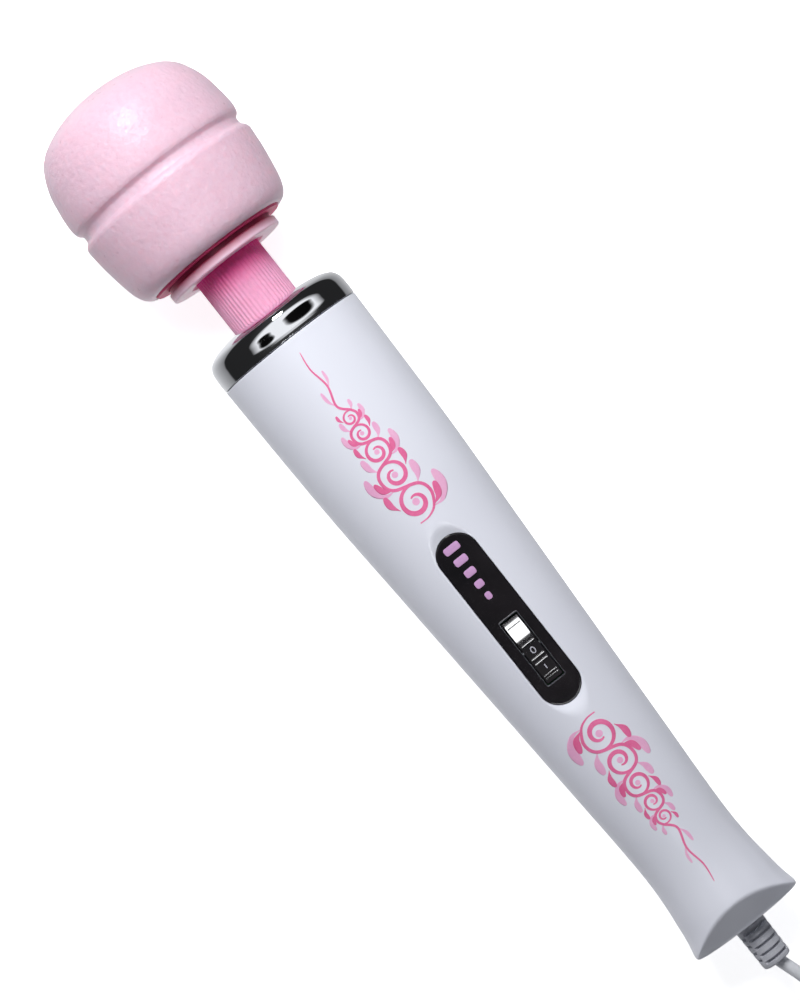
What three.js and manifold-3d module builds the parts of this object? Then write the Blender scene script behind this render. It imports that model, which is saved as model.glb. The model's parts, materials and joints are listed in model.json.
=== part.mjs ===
// A handheld wand massager: a round silicone head on a flexible neck, a tapered two-shell handle
// with a chrome collar and a recessed switch panel, and a mains lead. Millimetres, +Z up.
// The wand is built along its own axis, x from the flat end of its tail to the tip of its head,
// its front (the side with the switch) up. A group then lays it on the floor, on head and tail.
import * as THREE from "three";
import { mergeVertices } from "three/addons/utils/BufferGeometryUtils.js";
import Module from "manifold-3d";

const wasm = await Module();
wasm.setup();

// ---------------------------------------------------------------- driving dimensions
const GAP = 0.3; // between pieces that touch
const HALF_GAP = GAP / 2;
const ROUND = 32; // sides of the large round pieces
const INNER_ROUND = 20; // sides of the round pieces inside
const SMALL_ROUND = 12; // sides of screws, wires and pins
const FACET = Math.cos(Math.PI / ROUND); // middle of a side against its corner

const TIP_X = 324.7; // whole length, without the strain relief
const HEAD_CREST = new THREE.Vector2(286.7, 31.6); // x and radius where the head meets the floor
const TAIL_CREST = new THREE.Vector2(9.2, 18.13); // and where the tail does
const WALL = 2.2;
const END_WALL = 3.2;
const SHOULDER_X = 226.7; // the shells' outer surface ends here, under the collar
const NOSE_X = 232;
const NOSE_RADIUS = 22.9;

const PANEL_X = 119.4; // middle of the switch panel
const PANEL_HALF_LENGTH = 31.4;
const PANEL_HALF_WIDTH = 6.86;
const PANEL_THICKNESS = 2;
const DISH_DEPTH = 1.25; // the panel's face below the handle's crest
const DISH_RAMP = 4.6; // the dish runs this far past the panel's ends
const ROCKER_OFFSET = -11.5; // middle of the rocker from the middle of the panel
const ROCKER_LENGTH = 22.6;
const ROCKER_WIDTH = 5.8;

const NECK_RADIUS = 11.83;
const NECK_BORE = 10.2;
const NECK_MIDDLE_X = 249;
const FLANGE_X = 259.3;
const FLANGE_RADIUS = 20.35;
const CORE_X = 262.6;
const CORE_RADIUS = 23.4;
const CORE_BORE = 19.7;

const SHAFT_RADIUS = 2;
const BEARING_BORE = SHAFT_RADIUS + GAP;
const MOTOR_RADIUS = 18;
const MOTOR_X = 172; // back of the motor's can
const MOTOR_LENGTH = 42;

const RELIEF_LENGTH = 15.5;
const CORD_RADIUS = 2;
const CORD_SIDES = 8;
const WIRE_RADIUS = 0.8;
const WIRE_SIDES = 6;

// How the wand lies: head and tail rest on the floor, so its axis rises towards the head.
const REST_TILT = Math.atan(
  (FACET * (HEAD_CREST.y - TAIL_CREST.y)) / (HEAD_CREST.x - TAIL_CREST.x),
);
const AXIS_HEIGHT =
  FACET * HEAD_CREST.y * Math.cos(REST_TILT) - HEAD_CREST.x * Math.sin(REST_TILT);
const WAND_X = -154.4; // puts the middle of the wand over the origin

// The lead's coil, beyond the tail, on the floor.
const COIL_CENTRE = new THREE.Vector2(-203, -39);
const COIL_MIDDLE_RADIUS = 24;
const COIL_HALF_WIDTH = 7.9;
const COIL_BOTTOM = 0.9; // the tie's lower strand lies under it
const COIL_HEIGHT = 16.2;
const PLUG_TURN = THREE.MathUtils.degToRad(-5); // heading of the plug, from +X
const PLUG_AXIS_HEIGHT = 7.2;

// The handle's outline, x and radius, from its flared tail to the collar.
const HANDLE_OUTLINE = new THREE.SplineCurve(
  [
    [1.2, 19.5],
    [10, 17.98],
    [30, 16.6],
    [68, 18.3],
    [105, 20.2],
    [142, 22.1],
    [180, 24],
    [SHOULDER_X, 25.1],
  ].map(([x, radius]) => new THREE.Vector2(x, radius)),
).getPoints(11);

// ---------------------------------------------------------------- materials
function finish(color, roughness, metalness = 0) {
  return new THREE.MeshStandardMaterial({ color, roughness, metalness });
}
const WHITE = finish(0xe9ebf2, 0.22);
const CHROME = finish(0xd8dade, 0.06, 1);
const HEAD_PINK = finish(0xefc9d6, 0.45);
const NECK_PINK = finish(0xea9fc4, 0.4);
const FLANGE_PINK = finish(0xe4b3cb, 0.35);
const GLOSS_BLACK = finish(0x0b0b0e, 0.08);
const HARD_PLASTIC = finish(0x2f3136, 0.45);
const STEEL = finish(0xa9adb3, 0.3, 1);
const DARK_STEEL = finish(0x6d7076, 0.45, 1);
const COPPER = finish(0xb4673a, 0.35, 1);
const FERRITE = finish(0x3a3a3d, 0.7);
const BRASS = finish(0xc9a650, 0.3, 1);
const BOARD_GREEN = finish(0x2d6b3c, 0.5);
const RUBBER = finish(0x26262a, 0.8);
const RED_WIRE = finish(0xb03a34, 0.5);
const BLUE_WIRE = finish(0x35558f, 0.5);
const CORD_GREY = finish(0xc9cbd0, 0.5);

// ---------------------------------------------------------------- shapes and booleans
function solid(geometry) {
  const flat = geometry.clone();
  flat.deleteAttribute("normal");
  flat.deleteAttribute("uv");
  const merged = mergeVertices(flat, 1e-4);
  return new wasm.Manifold(
    new wasm.Mesh({
      numProp: 3,
      vertProperties: new Float32Array(merged.attributes.position.array),
      triVerts: new Uint32Array(merged.index.array),
    }),
  );
}

function geometryOf(shape) {
  const mesh = shape.getMesh();
  const geometry = new THREE.BufferGeometry();
  geometry.setAttribute("position", new THREE.BufferAttribute(mesh.vertProperties, 3));
  geometry.setIndex(new THREE.BufferAttribute(mesh.triVerts, 1));
  geometry.computeVertexNormals();
  return geometry;
}

// Turns an outline of [x, radius] pairs about the wand's axis. A side, not a corner, faces down.
function revolve(outline, sides = ROUND) {
  const points = outline.map(([x, radius]) => new THREE.Vector2(radius, x));
  const geometry = new THREE.LatheGeometry(points, sides, Math.PI / sides);
  return solid(geometry.rotateZ(-Math.PI / 2));
}

function rod(radius, from, to, sides = INNER_ROUND) {
  return revolve([[from, 0], [from, radius], [to, radius], [to, 0]], sides);
}

function ring(bore, radius, from, to, sides = INNER_ROUND) {
  return rod(radius, from, to, sides).subtract(rod(bore, from - 1, to + 1, sides));
}

function block([x0, x1], [y0, y1], [z0, z1]) {
  const geometry = new THREE.BoxGeometry(x1 - x0, y1 - y0, z1 - z0);
  return solid(geometry.translate((x0 + x1) / 2, (y0 + y1) / 2, (z0 + z1) / 2));
}

// An upright round post, pin or hole at x, y.
function post(x, y, radius, from, to, sides = SMALL_ROUND) {
  const geometry = new THREE.CylinderGeometry(radius, radius, to - from, sides);
  return solid(geometry.rotateX(Math.PI / 2).translate(x, y, (from + to) / 2));
}

function stadium(halfLength, halfWidth) {
  const straight = halfLength - halfWidth;
  const shape = new THREE.Shape();
  shape.absarc(straight, 0, halfWidth, -Math.PI / 2, Math.PI / 2);
  shape.absarc(-straight, 0, halfWidth, Math.PI / 2, (3 * Math.PI) / 2);
  return shape;
}

// A plate of the given outline between two heights over the switch panel's face.
function panelPlate(shape, from, to) {
  const settings = { depth: to - from, bevelEnabled: false, curveSegments: 6 };
  return onPanel(new THREE.ExtrudeGeometry(shape, settings).translate(0, 0, from));
}

// A round bar along a smooth curve through the points.
function tube(points, radius, sides, steps) {
  const section = new THREE.Shape();
  section.absarc(0, 0, radius, 0, 2 * Math.PI);
  const settings = {
    steps,
    extrudePath: new THREE.CatmullRomCurve3(points.map((point) => new THREE.Vector3(...point))),
    curveSegments: sides / 2, // a full circle takes two sides for each
    bevelEnabled: false,
  };
  return solid(new THREE.ExtrudeGeometry(section, settings));
}

function radiusAt(x) {
  const after = HANDLE_OUTLINE.findIndex((point) => point.x >= x);
  const [a, b] = [HANDLE_OUTLINE[after - 1], HANDLE_OUTLINE[after]];
  return THREE.MathUtils.mapLinear(x, a.x, b.x, a.y, b.y);
}

// The switch panel's own frame: its middle on the dish floor, its x along the handle's crest.
const CREST_RISE = Math.atan2(
  radiusAt(PANEL_X + PANEL_HALF_LENGTH) - radiusAt(PANEL_X - PANEL_HALF_LENGTH),
  2 * PANEL_HALF_LENGTH,
);
function onPanel(geometry) {
  geometry.rotateY(-CREST_RISE);
  return solid(geometry.translate(PANEL_X, 0, radiusAt(PANEL_X) - DISH_DEPTH));
}

function panelBlock(length, width, from, to, middle = 0) {
  const geometry = new THREE.BoxGeometry(length, width, to - from);
  return onPanel(geometry.translate(middle, 0, (from + to) / 2));
}

// ---------------------------------------------------------------- the scene graph
const massager = new THREE.Group();
const wand = new THREE.Group();
wand.position.set(WAND_X, 0, AXIS_HEIGHT);
wand.rotation.y = -REST_TILT;
massager.add(wand);

function add(group, name, shape, material) {
  const mesh = new THREE.Mesh(geometryOf(shape), material);
  mesh.name = name;
  group.add(mesh);
}

// ---------------------------------------------------------------- handle shells
const SCREW_PLACES = [
  [80, 11.5],
  [80, -11.5],
  [158, 13.2],
  [158, -13.2],
];
const SCREW_SEAT = -8; // height of the case screws' heads, inside their counterbores
const SCREW_TOP = 6.5;
const SCREW_SHANK = 1.3;
const SCREW_HEAD = 2.8;
const CLAMP_X = 17;
const CLAMP_SCREW_Y = 6;
const CLAMP_SCREW_DEPTH = -5;
const RELIEF_NECK = 4.6;

function handleBody() {
  const outline = HANDLE_OUTLINE.map((point) => [point.x, point.y]);
  return revolve([[0, 0], [0, 18.9], ...outline, [SHOULDER_X, 0]]);
}

// The tail is scooped front and back, which leaves an oval end face.
function scoopCone() {
  const cone = [[-1, 0], [-1, 10.01], [20, 26.67], [240, 60], [240, 0]];
  const points = cone.map(([x, radius]) => new THREE.Vector2(radius, x));
  const geometry = new THREE.LatheGeometry(points, ROUND, Math.PI / ROUND);
  return solid(geometry.rotateZ(-Math.PI / 2).scale(1, 1.815, 1));
}

function handleHollow() {
  const stretch = HANDLE_OUTLINE.filter(({ x }) => x > END_WALL + 4 && x < SHOULDER_X);
  const outline = stretch.map((point) => [point.x, point.y - WALL]);
  const [, firstRadius] = outline[0];
  const lastRadius = NOSE_RADIUS - WALL;
  const nose = [[SHOULDER_X, lastRadius], [NOSE_X + 1, lastRadius], [NOSE_X + 1, 0]];
  const tail = [[END_WALL, 0], [END_WALL, 9], [END_WALL + 4, firstRadius]];
  return revolve([...tail, ...outline, ...nose]);
}

function makeShells() {
  const body = handleBody();
  const hollow = handleHollow();
  const nose = rod(NOSE_RADIUS, SHOULDER_X - 1, NOSE_X, ROUND);
  const wall = body.add(nose).intersect(scoopCone()).subtract(hollow);
  const reliefHole = rod(RELIEF_NECK + GAP, -1, END_WALL + 1);

  const seat = panelPlate(stadium(PANEL_HALF_LENGTH + 2.2, PANEL_HALF_WIDTH + 1.8), -4.2, -1);
  let front = wall.add(seat.intersect(body));
  let rear = wall;
  for (const [x, y] of SCREW_PLACES) {
    front = front.add(post(x, y, 3.6, 0, 30).intersect(body));
    rear = rear.add(post(x, y, 4.2, -30, 0).intersect(body));
    front = front.subtract(post(x, y, SCREW_SHANK + GAP, -1, SCREW_TOP + GAP));
    rear = rear.subtract(post(x, y, SCREW_SHANK + GAP, -30, 1));
    rear = rear.subtract(post(x, y, SCREW_HEAD + 0.4, -30, SCREW_SEAT));
  }
  for (const y of [-CLAMP_SCREW_Y, CLAMP_SCREW_Y]) {
    rear = rear.add(post(CLAMP_X, y, 3, -30, -0.5).intersect(body));
    rear = rear.subtract(post(CLAMP_X, y, 1.5, CLAMP_SCREW_DEPTH - 1, 1));
  }
  const dish = new THREE.ExtrudeGeometry(stadium(PANEL_HALF_LENGTH, PANEL_HALF_WIDTH), {
    depth: 4,
    bevelThickness: DISH_DEPTH,
    bevelSize: DISH_RAMP,
    bevelSegments: 1,
    curveSegments: 8,
  });
  front = front
    .subtract(onPanel(dish.translate(0, 0, DISH_DEPTH)))
    .subtract(
      panelPlate(
        stadium(PANEL_HALF_LENGTH + GAP, PANEL_HALF_WIDTH + GAP),
        -PANEL_THICKNESS - GAP,
        0.5,
      ),
    )
    .subtract(panelBlock(ROCKER_LENGTH + 2, ROCKER_WIDTH + 1.6, -12, 0, ROCKER_OFFSET))
    .subtract(reliefHole);
  rear = rear.subtract(reliefHole);
  const upper = block([-5, 240], [-40, 40], [HALF_GAP, 40]);
  const lower = block([-5, 240], [-40, 40], [-40, -HALF_GAP]);
  add(wand, "front_shell", front.intersect(upper), WHITE);
  add(wand, "rear_shell", rear.intersect(lower), WHITE);
}

function makeCaseScrews() {
  SCREW_PLACES.forEach(([x, y], index) => {
    const seat = SCREW_SEAT - GAP;
    const shank = post(x, y, SCREW_SHANK, seat - 1, SCREW_TOP);
    const head = post(x, y, SCREW_HEAD, seat - 1.8, seat);
    const slot = block([x - 2, x + 2], [y - 0.4, y + 0.4], [seat - 3, seat - 1.2]);
    add(wand, `case_screw_${index + 1}`, head.add(shank).subtract(slot), STEEL);
  });
}

// ---------------------------------------------------------------- switch panel and electrics
const ROCKER_PIVOT_DEPTH = -2.6;

function makeSwitch() {
  const window = panelBlock(ROCKER_LENGTH + 1.4, ROCKER_WIDTH + 0.8, -5, 5, ROCKER_OFFSET);
  const plate = stadium(PANEL_HALF_LENGTH, PANEL_HALF_WIDTH);
  add(wand, "switch_panel", panelPlate(plate, -PANEL_THICKNESS, 0).subtract(window), GLOSS_BLACK);

  // the rocker's side view: a shallow valley on top, a keel round its pivot below
  const half = ROCKER_LENGTH / 2;
  const side = new THREE.Shape();
  side.moveTo(-half, 0.8);
  side.lineTo(-half, -1);
  side.lineTo(-6, -1.6);
  side.lineTo(-3, -4.6);
  side.lineTo(3, -4.6);
  side.lineTo(6, -1.6);
  side.lineTo(half, -1);
  side.lineTo(half, 0.8);
  side.quadraticCurveTo(0, -0.6, -half, 0.8);
  const settings = { depth: ROCKER_WIDTH, bevelEnabled: false, curveSegments: 8 };
  const rocker = new THREE.ExtrudeGeometry(side, settings);
  rocker.rotateX(Math.PI / 2).translate(ROCKER_OFFSET, ROCKER_WIDTH / 2, 0);
  const hole = new THREE.CylinderGeometry(0.9, 0.9, 10, SMALL_ROUND);
  const pivotHole = onPanel(hole.translate(ROCKER_OFFSET, 0, ROCKER_PIVOT_DEPTH));
  add(wand, "switch_rocker", onPanel(rocker).subtract(pivotHole), GLOSS_BLACK);
  const pin = new THREE.CylinderGeometry(0.6, 0.6, 6.6, SMALL_ROUND);
  const pivotPin = onPanel(pin.translate(ROCKER_OFFSET, 0, ROCKER_PIVOT_DEPTH));
  add(wand, "rocker_pin", pivotPin, STEEL);
  const body = panelBlock(20, 8.4, -13, -6.4, ROCKER_OFFSET);
  add(wand, "switch_body", body, HARD_PLASTIC);
}

function makeElectrics() {
  add(wand, "circuit_board", block([92, 150], [-10.5, 10.5], [3.2, 4.8]), BOARD_GREEN);
  add(wand, "capacitor", block([128, 144], [-5, 5], [-6.4, 2.9]), HARD_PLASTIC);
  add(wand, "rectifier", block([96, 106], [-4, 4], [-2.4, 2.9]), HARD_PLASTIC);
  const leads = [
    ["live", 3, RED_WIRE],
    ["neutral", -3, BLUE_WIRE],
  ];
  for (const [name, side, material] of leads) {
    const toBoard = [
      [25, side / 3, 0],
      [45, side, -2],
      [70, 2 * side, -2],
      [89, 2 * side, 2],
      [91.5, 2 * side, 4],
    ];
    const toMotor = [
      [150.5, 2 * side, 4],
      [155, 2 * side, 4.5],
      [161, 2.4 * side, 6],
      [166.5, 2.6 * side, 7],
    ];
    add(wand, `${name}_lead`, tube(toBoard, WIRE_RADIUS, WIRE_SIDES, 10), material);
    add(wand, `${name}_motor_lead`, tube(toMotor, WIRE_RADIUS, WIRE_SIDES, 6), material);
  }
}

// ---------------------------------------------------------------- motor
function makeMotor() {
  const front = MOTOR_X + MOTOR_LENGTH;
  const hollow = rod(MOTOR_RADIUS - 1.4, MOTOR_X - 1, front - 4);
  const can = rod(MOTOR_RADIUS, MOTOR_X, front).subtract(hollow);
  add(wand, "motor_can", can.subtract(rod(5, front - 5, front + 1)), STEEL);
  const cap = ring(5.2, MOTOR_RADIUS, MOTOR_X - 5, MOTOR_X - GAP);
  add(wand, "motor_end_cap", cap, HARD_PLASTIC);
  add(wand, "rear_bearing", ring(BEARING_BORE, 4.8, MOTOR_X - 4.6, MOTOR_X - 0.8), BRASS);
  add(wand, "front_bearing", ring(BEARING_BORE, 4.6, front - 3.7, front - 0.3), BRASS);
  const magnets = ring(13.6, MOTOR_RADIUS - 1.8, MOTOR_X + 4, front - 6);
  for (const [name, low, high] of [["motor_magnet_front", 4, 20], ["motor_magnet_rear", -20, -4]]) {
    const half = block([MOTOR_X, front], [-20, 20], [low, high]);
    add(wand, name, magnets.intersect(half), FERRITE);
  }
  for (const [name, side] of [["brush_left", 1], ["brush_right", -1]]) {
    const reach = [side * 5.4, side * 11].sort((a, b) => a - b);
    const brush = block([MOTOR_X + 1.5, MOTOR_X + 4.5], reach, [-1.6, 1.6]);
    add(wand, name, brush, FERRITE);
  }
  for (const [name, x, radius] of [["rear_motor_mount", 175, 20.9], ["front_motor_mount", 200, 21.7]]) {
    add(wand, name, ring(MOTOR_RADIUS + GAP, radius, x, x + 6), RUBBER);
  }
}

function makeRotor() {
  add(wand, "motor_shaft", rod(SHAFT_RADIUS, 160, 236, SMALL_ROUND), STEEL);
  add(wand, "commutator", ring(SHAFT_RADIUS + GAP, 5, MOTOR_X + 1, MOTOR_X + 6), COPPER);
  let core = ring(SHAFT_RADIUS + GAP, 12.8, MOTOR_X + 8, MOTOR_X + 34);
  const slot = new THREE.BoxGeometry(40, 2.4, 6).translate(MOTOR_X + 21, 0, 12);
  for (let k = 0; k < 5; k += 1) {
    const turned = slot.clone().rotateX((2 * Math.PI * k) / 5);
    core = core.subtract(solid(turned));
  }
  add(wand, "armature", core, DARK_STEEL);
  let fan = ring(SHAFT_RADIUS + GAP, 5, 217, 222);
  const blade = new THREE.BoxGeometry(0.9, 3.4, 12).rotateZ(0.6).translate(219.5, 0, 10.5);
  for (let k = 0; k < 6; k += 1) {
    const turned = blade.clone().rotateX((2 * Math.PI * k) / 6);
    fan = fan.add(solid(turned));
  }
  add(wand, "cooling_fan", fan, HARD_PLASTIC);
}

// ---------------------------------------------------------------- collar and neck
function makeCollar() {
  const outline = [
    [SHOULDER_X + GAP, 25.17],
    [231.2, 25.17],
    [234.3, 24.86],
    [236.4, 23.4],
    [237.6, 21],
    [238.6, 17],
    [238.8, 12.15],
    [236.8, 12.15],
    [236.4, 16],
    [235.2, 20.6],
    [NOSE_X + GAP, 23.2],
    [SHOULDER_X + GAP, 23.2],
  ];
  add(wand, "collar_ring", revolve([...outline, outline[0]]), CHROME);
  add(wand, "nose_plate", ring(7.8, 20.3, 228.5, 231.4), HARD_PLASTIC);
}

function makeNeck() {
  const lower = ring(NECK_BORE, NECK_RADIUS, 233.2, NECK_MIDDLE_X - HALF_GAP, ROUND);
  const foot = ring(NECK_BORE, 14.5, 233.2, 235.2, ROUND);
  add(wand, "neck_sleeve_lower", lower.add(foot), NECK_PINK);
  const top = FLANGE_X - GAP;
  const upper = ring(NECK_BORE, NECK_RADIUS, NECK_MIDDLE_X + HALF_GAP, top, ROUND);
  add(wand, "neck_sleeve_upper", upper, NECK_PINK);
  add(wand, "neck_spring", ring(6.8, 8.4, 240.5, 257.5), STEEL);
  add(wand, "coupling_spring", ring(4, 5.4, 235, 261.5), DARK_STEEL);
}

// ---------------------------------------------------------------- head
function makeHead() {
  const flange = revolve(
    [
      [FLANGE_X, 7.3],
      [FLANGE_X, FLANGE_RADIUS - 0.5],
      [FLANGE_X + 0.5, FLANGE_RADIUS],
      [FLANGE_X + 1.3, FLANGE_RADIUS],
      [FLANGE_X + 1.8, CORE_BORE - GAP],
      [268, CORE_BORE - GAP],
      [268, 6.3],
      [264, 6.3],
      [264, 7.3],
      [FLANGE_X, 7.3],
    ],
  );
  add(wand, "head_flange", flange, FLANGE_PINK);

  const core = revolve([
    [CORE_X, CORE_BORE],
    [CORE_X, CORE_RADIUS],
    [300, CORE_RADIUS],
    [306, 20],
    [309, 12],
    [310, 0],
    [302.5, 0],
    [302.5, 6.3],
    [298, 6.3],
    [298, 15],
    [294, CORE_BORE],
    [CORE_X, CORE_BORE],
  ]);
  add(wand, "head_core", core, HARD_PLASTIC);

  const lowerBand = new THREE.SplineCurve(
    [[262.1, 25.2], [265.1, 28], [271.3, 29.7], [279, 30.9], HEAD_CREST.toArray()].map(
      ([x, radius]) => new THREE.Vector2(x, radius),
    ),
  );
  const dome = new THREE.SplineCurve(
    [[294, 31.5], [296, 31.75], [302, 31.25], [308.3, 30.1], [314.5, 27.4], [320.6, 20.2],
      [323.6, 11.5], [TIP_X, 0]].map(([x, radius]) => new THREE.Vector2(x, radius)),
  );
  const groove = [[288.4, 30.9], [289.4, 29.9], [291.2, 29.9]];
  const outer = [
    ...lowerBand.getPoints(4).map((point) => [point.x, point.y]),
    ...groove,
    ...dome.getPoints(8).map((point) => [point.x, Math.max(point.y, 0)]),
  ];
  const inner = [
    [310.3, 0],
    [309.3, 12.3],
    [306.3, 20.3],
    [300.3, CORE_RADIUS + GAP],
    [262.3, CORE_RADIUS + GAP],
    [262.3, 21.3],
    [261.7, 21.3],
    [261.7, 24],
  ];
  add(wand, "head_cushion", revolve([...inner, ...outer]), HEAD_PINK);

  const bearings = [["head_bearing_lower", 264.2], ["head_bearing_upper", 298.3]];
  for (const [name, x] of bearings) {
    add(wand, name, ring(BEARING_BORE, 6, x, x + 3.6), STEEL);
  }
  add(wand, "eccentric_shaft", rod(SHAFT_RADIUS, 259.8, 302.2, SMALL_ROUND), STEEL);
  const half = block([270, 294], [-20, 20], [-20, 0]);
  const weight = ring(SHAFT_RADIUS + GAP, 15, 273, 291).intersect(half);
  const hub = ring(SHAFT_RADIUS + GAP, 5, 273, 291);
  add(wand, "eccentric_weight", weight.add(hub), DARK_STEEL);
}

// ---------------------------------------------------------------- cord entry and mains lead
function makeCordEntry() {
  const relief = revolve(
    [
      [-RELIEF_LENGTH, 0],
      [-RELIEF_LENGTH, 3.9],
      [-RELIEF_LENGTH + 1, 4.9],
      [-GAP, 5.15],
      [-GAP, RELIEF_NECK],
      [END_WALL + GAP, RELIEF_NECK],
      [END_WALL + GAP, 7.2],
      [END_WALL + 2.3, 7.2],
      [END_WALL + 2.3, 0],
    ],
    INNER_ROUND,
  );
  add(wand, "strain_relief", relief, CORD_GREY);
  add(wand, "inner_sheath", rod(CORD_RADIUS, END_WALL + 2.6, 24.5, SMALL_ROUND), CORD_GREY);

  let bar = block([CLAMP_X - 3, CLAMP_X + 3], [-9, 9], [CORD_RADIUS + GAP, 4.8]);
  for (const [index, y] of [-CLAMP_SCREW_Y, CLAMP_SCREW_Y].entries()) {
    bar = bar.subtract(post(CLAMP_X, y, 1.5, 0, 6));
    const shank = post(CLAMP_X, y, 1.2, CLAMP_SCREW_DEPTH, 5.5);
    const head = post(CLAMP_X, y, 2.3, 5.1, 6.6);
    add(wand, `clamp_screw_${index + 1}`, shank.add(head), STEEL);
  }
  add(wand, "cord_clamp", bar, HARD_PLASTIC);
}

// The lead leaves the strain relief nearly level and runs on to the coil's top outer turn.
const LEAD_ROUTE = [
  [-170.5, -0.5, 16.8],
  [-173.5, -1.5, 16.7],
  [-177, -2.7, 16.5],
  [-182, -3.95, 16.1],
  [-187.4, -5.1, 15.7],
  [-192.7, -6.2, 15.3],
];
// From the coil's bottom outer turn it goes to the plug, which lies on the floor.
const TAIL_ROUTE = [
  [-188.6, -70.2, 3],
  [-184.8, -70.5, 4],
  [-180.6, -70.9, 5.9],
  [-176.6, -71.2, 7],
];
const PLUG_START = new THREE.Vector3(-175.5, -71.3, PLUG_AXIS_HEIGHT);

// A ring of oblong section, lying flat round the coil's middle.
function makeCoil() {
  const points = [
    [COIL_MIDDLE_RADIUS - COIL_HALF_WIDTH, COIL_BOTTOM],
    [COIL_MIDDLE_RADIUS + COIL_HALF_WIDTH, COIL_BOTTOM],
    [COIL_MIDDLE_RADIUS + COIL_HALF_WIDTH, COIL_BOTTOM + COIL_HEIGHT],
    [COIL_MIDDLE_RADIUS - COIL_HALF_WIDTH, COIL_BOTTOM + COIL_HEIGHT],
    [COIL_MIDDLE_RADIUS - COIL_HALF_WIDTH, COIL_BOTTOM],
  ].map(([radius, height]) => new THREE.Vector2(radius, height));
  const geometry = new THREE.LatheGeometry(points, ROUND).rotateX(Math.PI / 2);
  return solid(geometry.translate(COIL_CENTRE.x, COIL_CENTRE.y, 0));
}

// A strap closed round the coil's section, on the side away from the lead.
const TIE_ANGLE = THREE.MathUtils.degToRad(200);
const TIE_THICKNESS = 0.6;
const TIE_WIDTH = 5;

function makeTie() {
  const clear = COIL_HALF_WIDTH + GAP;
  const top = COIL_BOTTOM + COIL_HEIGHT + GAP;
  const strap = new THREE.BoxGeometry(
    2 * (clear + TIE_THICKNESS),
    TIE_WIDTH,
    top + TIE_THICKNESS,
  ).translate(0, 0, (top + TIE_THICKNESS) / 2);
  const inside = new THREE.BoxGeometry(2 * clear, 2 * TIE_WIDTH, top - TIE_THICKNESS);
  inside.translate(0, 0, (top + TIE_THICKNESS) / 2);
  const place = (geometry) =>
    solid(
      geometry
        .translate(COIL_MIDDLE_RADIUS, 0, 0)
        .rotateZ(TIE_ANGLE)
        .translate(COIL_CENTRE.x, COIL_CENTRE.y, 0),
    );
  return place(strap).subtract(place(inside));
}

const PLUG_SLEEVE = 18;
const PLUG_LENGTH = 24;
const PIN_LENGTH = 16;
const PIN_SPREAD = 6.35;

function makePlug() {
  const plug = new THREE.Group();
  plug.position.copy(PLUG_START);
  plug.rotation.z = PLUG_TURN;
  massager.add(plug);
  const sleeve = revolve(
    [[0, 0], [0, 3.1], [PLUG_SLEEVE, 4.6], [PLUG_SLEEVE + 1, 4.6], [PLUG_SLEEVE + 1, 0]],
    INNER_ROUND,
  );
  const outline = new THREE.Shape();
  outline.moveTo(0, -5);
  outline.quadraticCurveTo(3, -9.2, 9, -9.6);
  outline.lineTo(PLUG_LENGTH, -10);
  outline.lineTo(PLUG_LENGTH, 10);
  outline.lineTo(9, 9.6);
  outline.quadraticCurveTo(3, 9.2, 0, 5);
  const thickness = 2 * (PLUG_AXIS_HEIGHT - 0.8);
  const settings = { depth: thickness - 1.6, bevelThickness: 0.8, bevelSize: 0.8, bevelSegments: 1,
    bevelOffset: -0.8, curveSegments: 5 };
  const shell = new THREE.ExtrudeGeometry(outline, settings);
  const middle = (thickness - 1.6) / 2;
  let body = solid(shell.translate(PLUG_SLEEVE, 0, -middle)).add(sleeve);
  const face = PLUG_SLEEVE + PLUG_LENGTH;
  for (const [index, side] of [-1, 1].entries()) {
    const y = side * PIN_SPREAD;
    const blade = (grow) =>
      block(
        [face - 8 - grow, face + PIN_LENGTH],
        [y - 0.75 - grow, y + 0.75 + grow],
        [-3.15 - grow, 3.15 + grow],
      );
    body = body.subtract(blade(GAP));
    add(plug, `plug_pin_${index + 1}`, blade(0), BRASS);
  }
  add(plug, "plug_body", body, CORD_GREY);
}

function makeLead() {
  const lead = tube(LEAD_ROUTE, CORD_RADIUS, CORD_SIDES, 6);
  add(massager, "mains_cord", lead, CORD_GREY);
  add(massager, "cord_coil", makeCoil(), CORD_GREY);
  const tail = tube(TAIL_ROUTE, CORD_RADIUS, CORD_SIDES, 4);
  add(massager, "cord_tail", tail, CORD_GREY);
  add(massager, "cord_tie", makeTie(), RUBBER);
  makePlug();
}

makeShells();
makeCaseScrews();
makeSwitch();
makeElectrics();
makeMotor();
makeRotor();
makeCollar();
makeNeck();
makeHead();
makeCordEntry();
makeLead();

export default massager;
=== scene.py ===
"""Looks of the handheld wand massager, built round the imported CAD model."""

import json
import math

import bmesh
import bpy
import numpy as np
from mathutils import Matrix, Vector
from mathutils.geometry import tessellate_polygon

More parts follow.
